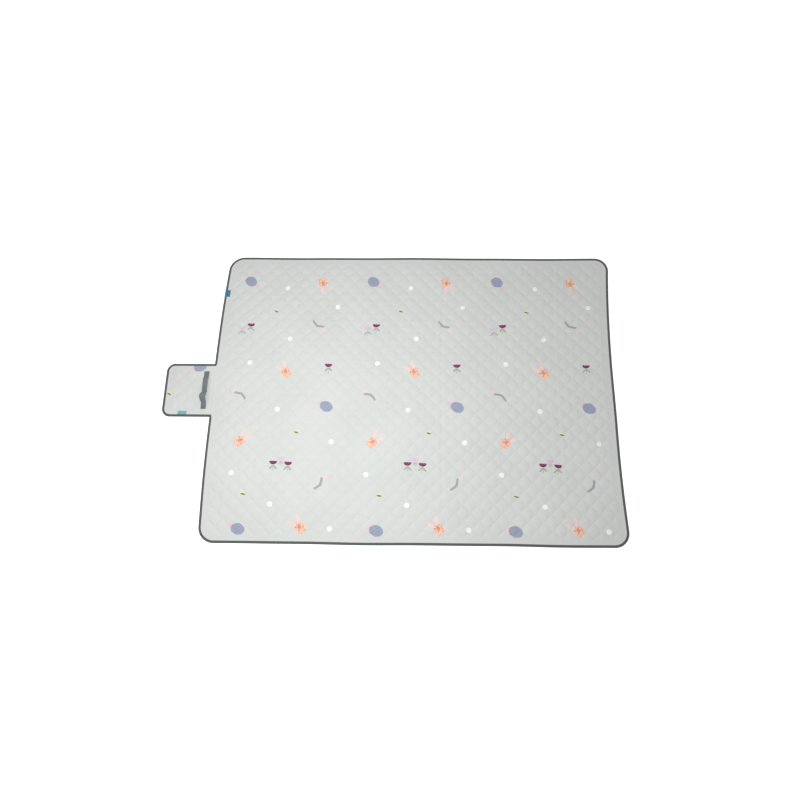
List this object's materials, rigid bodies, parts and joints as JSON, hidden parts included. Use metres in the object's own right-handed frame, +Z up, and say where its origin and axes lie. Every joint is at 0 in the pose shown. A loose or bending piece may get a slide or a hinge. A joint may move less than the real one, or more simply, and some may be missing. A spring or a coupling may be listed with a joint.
{
  "type": "camp blanket",
  "caption": "Quilted outdoor blanket with bound edges, a printed top, a waterproof back, and a fold-over flap with a webbing handle.",
  "frame": {"origin": "on the ground under the middle of the whole object, flap included", "axes": "+X along the blanket's length, away from the flap; +Y to its far long side; +Z up"},
  "size_m": [2.24, 1.5, 0.032],
  "materials": {
    "cover_print": "matt brushed woven polyester, printed with scattered motifs, quilted in diamonds",
    "wadding": "lofted polyester fibre",
    "backing": "coated waterproof woven cloth, semi-matt",
    "binding_tape": "matt woven bias tape",
    "webbing": "ribbed woven webbing",
    "hook_tape": "hook side of a touch fastener",
    "loop_tape": "loop side of a touch fastener",
    "label": "plain woven label"
  },
  "bodies": {
    "centre_row": {"backing_centre": "backing", "wadding_centre": "wadding", "cover_centre": "cover_print", "binding_centre_right": "binding_tape", "binding_centre_left_far": "binding_tape", "binding_centre_left_near": "binding_tape"},
    "far_inner_row": {"backing_far_inner": "backing", "wadding_far_inner": "wadding", "cover_far_inner": "cover_print", "binding_far_inner_left": "binding_tape", "binding_far_inner_right": "binding_tape"},
    "far_outer_row": {"backing_far_outer": "backing", "wadding_far_outer": "wadding", "cover_far_outer": "cover_print", "binding_far_outer": "binding_tape", "label_side": "label"},
    "near_inner_row": {"backing_near_inner": "backing", "wadding_near_inner": "wadding", "cover_near_inner": "cover_print", "binding_near_inner_left": "binding_tape", "binding_near_inner_right": "binding_tape", "loop_patch": "loop_tape"},
    "near_outer_row": {"backing_near_outer": "backing", "wadding_near_outer": "wadding", "cover_near_outer": "cover_print", "binding_near_outer": "binding_tape"},
    "flap_spine": {"backing_spine": "backing", "wadding_spine": "wadding", "cover_spine": "cover_print", "binding_spine_far": "binding_tape", "binding_spine_near": "binding_tape", "handle_end_far": "webbing", "handle_end_near": "webbing"},
    "flap_panel": {"backing_flap": "backing", "wadding_flap": "wadding", "cover_flap": "cover_print", "binding_flap": "binding_tape", "hook_patch": "hook_tape", "label_flap": "label"},
    "handle": {"handle_strap": "webbing"}
  },
  "joints": [
    {"name": "far_inner_fold", "type": "hinge", "parent": "centre_row", "child": "far_inner_row", "pos_m": [0.12, 0.15, 0.0142], "axis": [1, 0, 0], "range_deg": [0, 179.9]},
    {"name": "far_outer_fold", "type": "hinge", "parent": "far_inner_row", "child": "far_outer_row", "pos_m": [0.12, 0.45, 0.0084], "axis": [1, 0, 0], "range_deg": [0, 179.9]},
    {"name": "near_inner_fold", "type": "hinge", "parent": "centre_row", "child": "near_inner_row", "pos_m": [0.12, -0.15, 0.0258], "axis": [-1, 0, 0], "range_deg": [0, 179.9]},
    {"name": "near_outer_fold", "type": "hinge", "parent": "near_inner_row", "child": "near_outer_row", "pos_m": [0.12, -0.45, 0.0084], "axis": [-1, 0, 0], "range_deg": [0, 179.9]},
    {"name": "spine_fold", "type": "hinge", "parent": "centre_row", "child": "flap_spine", "pos_m": [-0.8829, 0, 0.0026], "axis": [0, -1, 0], "range_deg": [-90, 90]},
    {"name": "flap_fold", "type": "hinge", "parent": "flap_spine", "child": "flap_panel", "pos_m": [-0.978, 0, 0.0026], "axis": [0, -1, 0], "range_deg": [-90, 90]},
    {"name": "handle_swing", "type": "hinge", "parent": "flap_spine", "child": "handle", "pos_m": [-0.915, 0, 0.0055], "axis": [0, 1, 0], "range_deg": [-30, 30], "stiffness_Nm_per_rad": 0.02}
  ]
}
